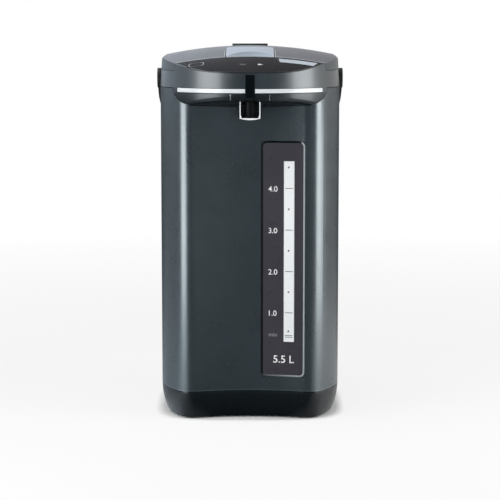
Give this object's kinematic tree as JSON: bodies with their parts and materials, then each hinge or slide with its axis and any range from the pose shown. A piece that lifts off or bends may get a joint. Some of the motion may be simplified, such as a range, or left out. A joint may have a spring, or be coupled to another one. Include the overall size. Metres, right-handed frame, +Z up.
{
  "type": "electric thermo pot",
  "caption": "Electric thermo pot that boils, keeps hot and pumps out water: oval body, domed lid with latch, control panel, front spout, water gauge and folding handle.",
  "frame": {"origin": "on the inner pot's axis, at the height of the table under the feet", "axes": "+Z up; the front with the spout faces -Y; +X is to the right seen from the front"},
  "size_m": [0.206, 0.2613, 0.404],
  "materials": {
    "body_paint": "satin dark metallic grey paint",
    "head_plastic": "satin grey metallic plastic",
    "lid_plastic": "satin silver grey plastic",
    "base_plastic": "fine matte black",
    "black_gloss": "gloss black",
    "black_plastic": "matte black",
    "panel_film": "gloss dark grey",
    "display_lens": "clear gloss over a pale display",
    "clear_tube": "clear",
    "white_plastic": "white satin",
    "chrome_trim": "bright chrome",
    "latch_silver": "pale silver satin",
    "steel": "drawn stainless steel",
    "fixings": "zinc plated",
    "aluminium": "cast",
    "brass": "plain",
    "silicone": "translucent milky silicone",
    "rubber_black": "matte",
    "lining_plastic": "off-white satin",
    "circuit_board": "green solder mask",
    "motor_case": "plain"
  },
  "bodies": {
    "pot": {"body_sleeve": "body_paint", "base_skirt": "base_plastic", "bottom_cover": "base_plastic", "rubber_feet": "rubber_black", "cover_screws": "fixings", "power_inlet": "black_plastic", "inlet_pins": "brass", "head_housing": "head_plastic", "chrome_strips": "chrome_trim", "head_spine": "black_gloss", "spout_block": "head_plastic", "spout_nozzle": "black_gloss", "spout_trim": "chrome_trim", "spout_backplate": "black_plastic", "control_panel": "panel_film", "display_window": "display_lens", "control_board": "circuit_board", "gauge_panel": "panel_film", "gauge_window": "clear_tube", "level_tube": "clear_tube", "scale_trough": "white_plastic", "inner_pot": "steel", "mouth_ring": "black_plastic", "outlet_strainer": "steel", "heater_plate": "aluminium", "thermal_cutout": "fixings", "temperature_sensor": "brass", "pump_housing": "white_plastic", "pump_motor": "motor_case", "pump_mount": "rubber_black", "suction_hose": "silicone", "delivery_elbow": "silicone", "delivery_pipe": "silicone", "power_board": "circuit_board", "hinge_pin": "fixings", "handle_pins": "fixings"},
    "lid": {"lid_shell": "lid_plastic", "lid_lining": "lining_plastic", "lid_gasket": "silicone", "steam_vent": "black_plastic", "hinge_cover": "black_plastic", "latch_pin": "fixings", "latch_spring": "fixings"},
    "latch": {"lid_latch": "latch_silver", "latch_hook": "latch_silver"},
    "key": {"dispense_key": "panel_film"},
    "bail": {"handle": "black_plastic"},
    "pump_rotor": {"impeller": "white_plastic", "impeller_shaft": "fixings"}
  },
  "joints": [
    {"name": "lid_hinge", "type": "hinge", "parent": "pot", "child": "lid", "pos_m": [0, 0.092, 0.387], "axis": [-1, 0, 0], "range_deg": [0, 90]},
    {"name": "latch_hinge", "type": "hinge", "parent": "lid", "child": "latch", "pos_m": [0, -0.046, 0.3925], "axis": [1, 0, 0], "range_deg": [0, 3], "stiffness_Nm_per_rad": 2, "springref_deg": -2.86},
    {"name": "key_slide", "type": "slide", "parent": "pot", "child": "key", "axis": [0, 0.3584, -0.9336], "range_m": [0, 0.001], "stiffness_N_per_m": 600},
    {"name": "handle_hinge", "type": "hinge", "parent": "pot", "child": "bail", "pos_m": [0, 0, 0.367], "axis": [1, 0, 0], "range_deg": [0, 126]},
    {"name": "impeller_spin", "type": "hinge", "parent": "pot", "child": "pump_rotor", "pos_m": [0.035, -0.03, 0.04], "axis": [0, 0, 1], "continuous": true}
  ]
}
